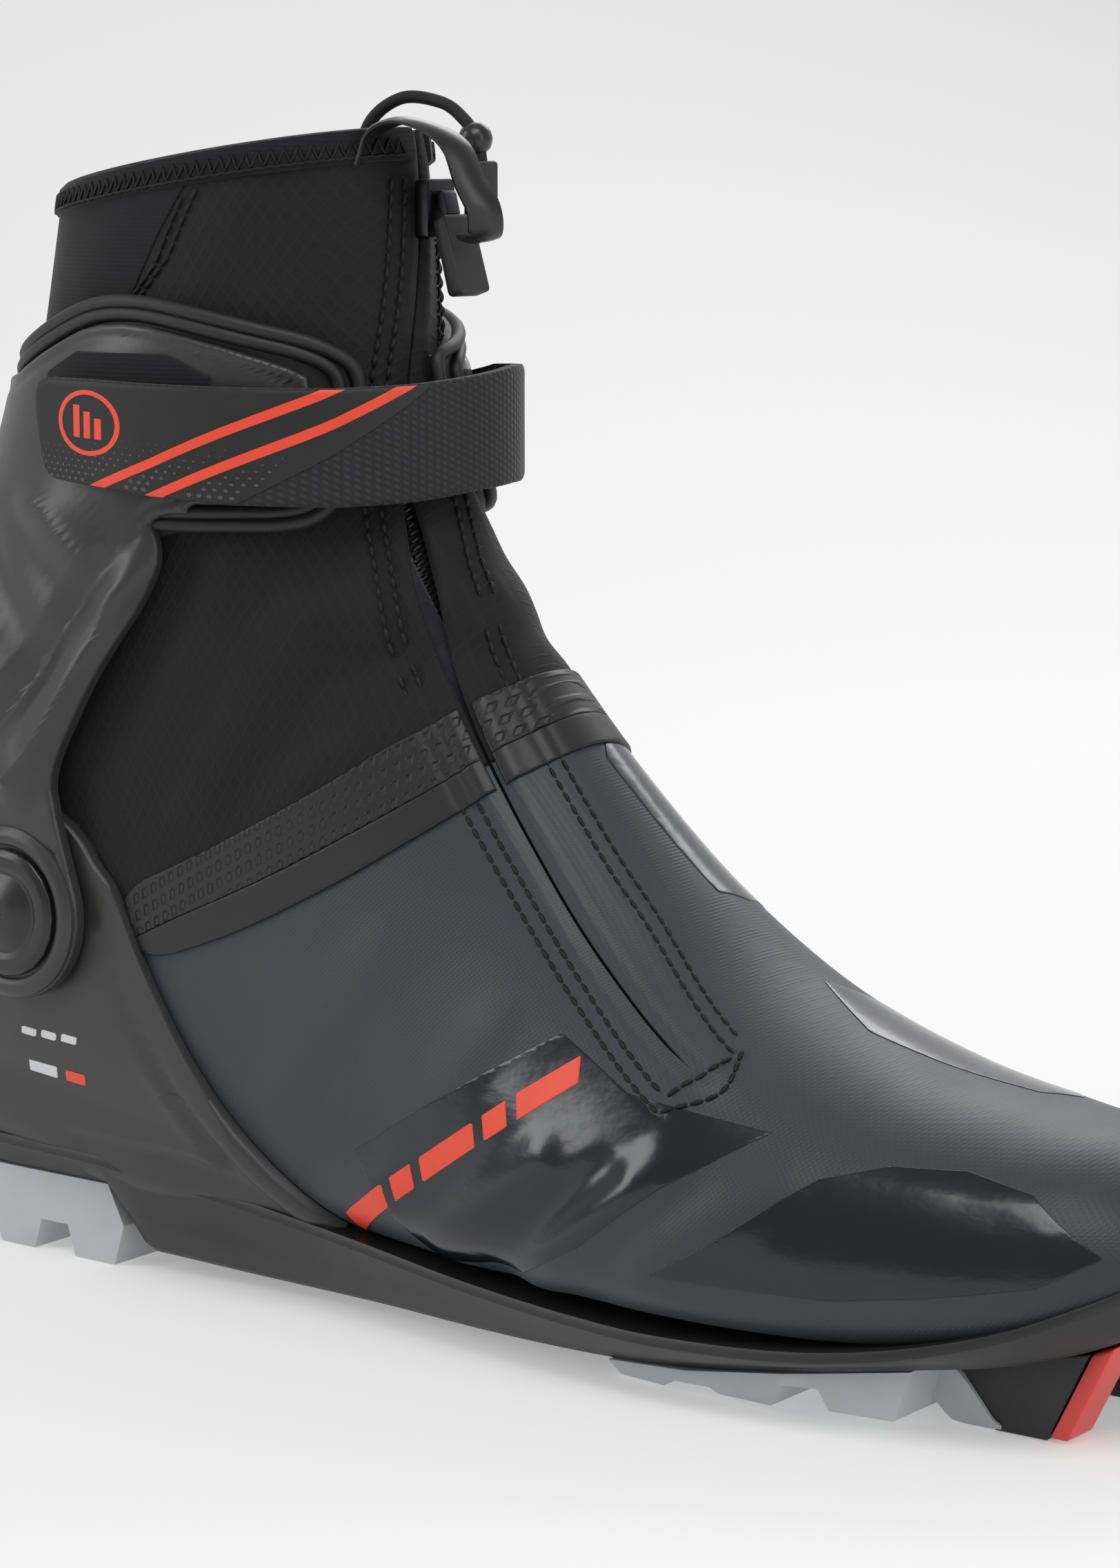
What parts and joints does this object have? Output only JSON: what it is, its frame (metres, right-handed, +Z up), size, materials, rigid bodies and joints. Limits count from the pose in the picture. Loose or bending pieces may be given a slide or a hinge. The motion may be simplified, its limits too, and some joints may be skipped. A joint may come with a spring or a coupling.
{
  "type": "cross country boot",
  "caption": "Right-foot skate boot with a zipped softshell upper, hinged ankle cuff, wrap strap, heel counter and a sole with a toe bar.",
  "frame": {"origin": "middle of the boot's footprint on the floor", "axes": "+X towards the toe, +Y towards the inner side of the foot, +Z up"},
  "size_m": [0.3053, 0.0914, 0.2239],
  "materials": {
    "sole": "satin moulded",
    "tread": "matt rubber",
    "red": "satin moulded",
    "steel": "ground",
    "board": "pressed fibre board",
    "insole": "felt on foam",
    "softshell": "coated navy grey softshell",
    "gaiter": "black stretch softshell",
    "band": "welded film",
    "shell": "satin moulded",
    "lining": "soft matt",
    "fleece": "brushed fleece",
    "webbing": "woven",
    "zipper": "coated coil"
  },
  "bodies": {
    "shoe": {"sole_plate": "sole", "heel_tread": "tread", "forefoot_tread_lateral": "tread", "forefoot_tread_medial": "tread", "toe_block": "sole", "toe_bar": "steel", "toe_insert_lateral": "red", "toe_insert_medial": "red", "lasting_board": "board", "insole": "insole", "liner_lower": "fleece", "tongue_lower": "fleece", "vamp_shell": "softshell", "heel_quarter": "softshell", "gaiter_lower_lateral": "gaiter", "gaiter_lower_medial": "gaiter", "gaiter_flex_front": "gaiter", "gaiter_flex_back": "softshell", "transition_band_lateral": "band", "transition_band_medial": "band", "heel_counter": "shell", "zipper_lower": "zipper", "pivot_bolt_lateral": "steel", "pivot_bolt_medial": "steel", "pivot_washer_lateral": "steel", "pivot_washer_medial": "steel", "pivot_cap_lateral": "shell", "pivot_cap_medial": "shell"},
    "cuff": {"cuff_shell": "shell", "cuff_lining": "lining", "gaiter_upper": "gaiter", "liner_upper": "fleece", "tongue_upper": "fleece", "zipper_upper": "zipper", "collar_binding": "gaiter", "loop_patch": "webbing", "strap_anchor": "shell"},
    "strap": {"strap_webbing": "webbing", "strap_hook_patch": "webbing"},
    "slider": {"zipper_slider": "zipper"},
    "puller": {"zipper_puller": "steel", "puller_grip": "lining"},
    "lace": {"lace_cord": "webbing", "lace_bead": "lining", "lace_tab": "lining"}
  },
  "joints": [
    {"name": "cuff_flex", "type": "hinge", "parent": "shoe", "child": "cuff", "pos_m": [-0.0863, 0, 0.07], "axis": [0, 1, 0], "range_deg": [-6, 16], "stiffness_Nm_per_rad": 4, "deforming": ["gaiter_flex_front", "gaiter_flex_back"]},
    {"name": "strap_swing", "type": "hinge", "parent": "cuff", "child": "strap", "pos_m": [-0.0483, 0.0383, 0.161], "axis": [0, 0, 1], "range_deg": [0, 70]},
    {"name": "zipper_slide", "type": "slide", "parent": "cuff", "child": "slider", "axis": [0.112, -0.2259, -0.9677], "range_m": [0, 0.016]},
    {"name": "puller_swing", "type": "hinge", "parent": "slider", "child": "puller", "pos_m": [-0.01645, 0.0041, 0.2046], "axis": [0, -1, 0], "range_deg": [-8, 110]},
    {"name": "lace_pull", "type": "slide", "parent": "cuff", "child": "lace", "axis": [0, 0, 1], "range_m": [0, 0.05]}
  ]
}
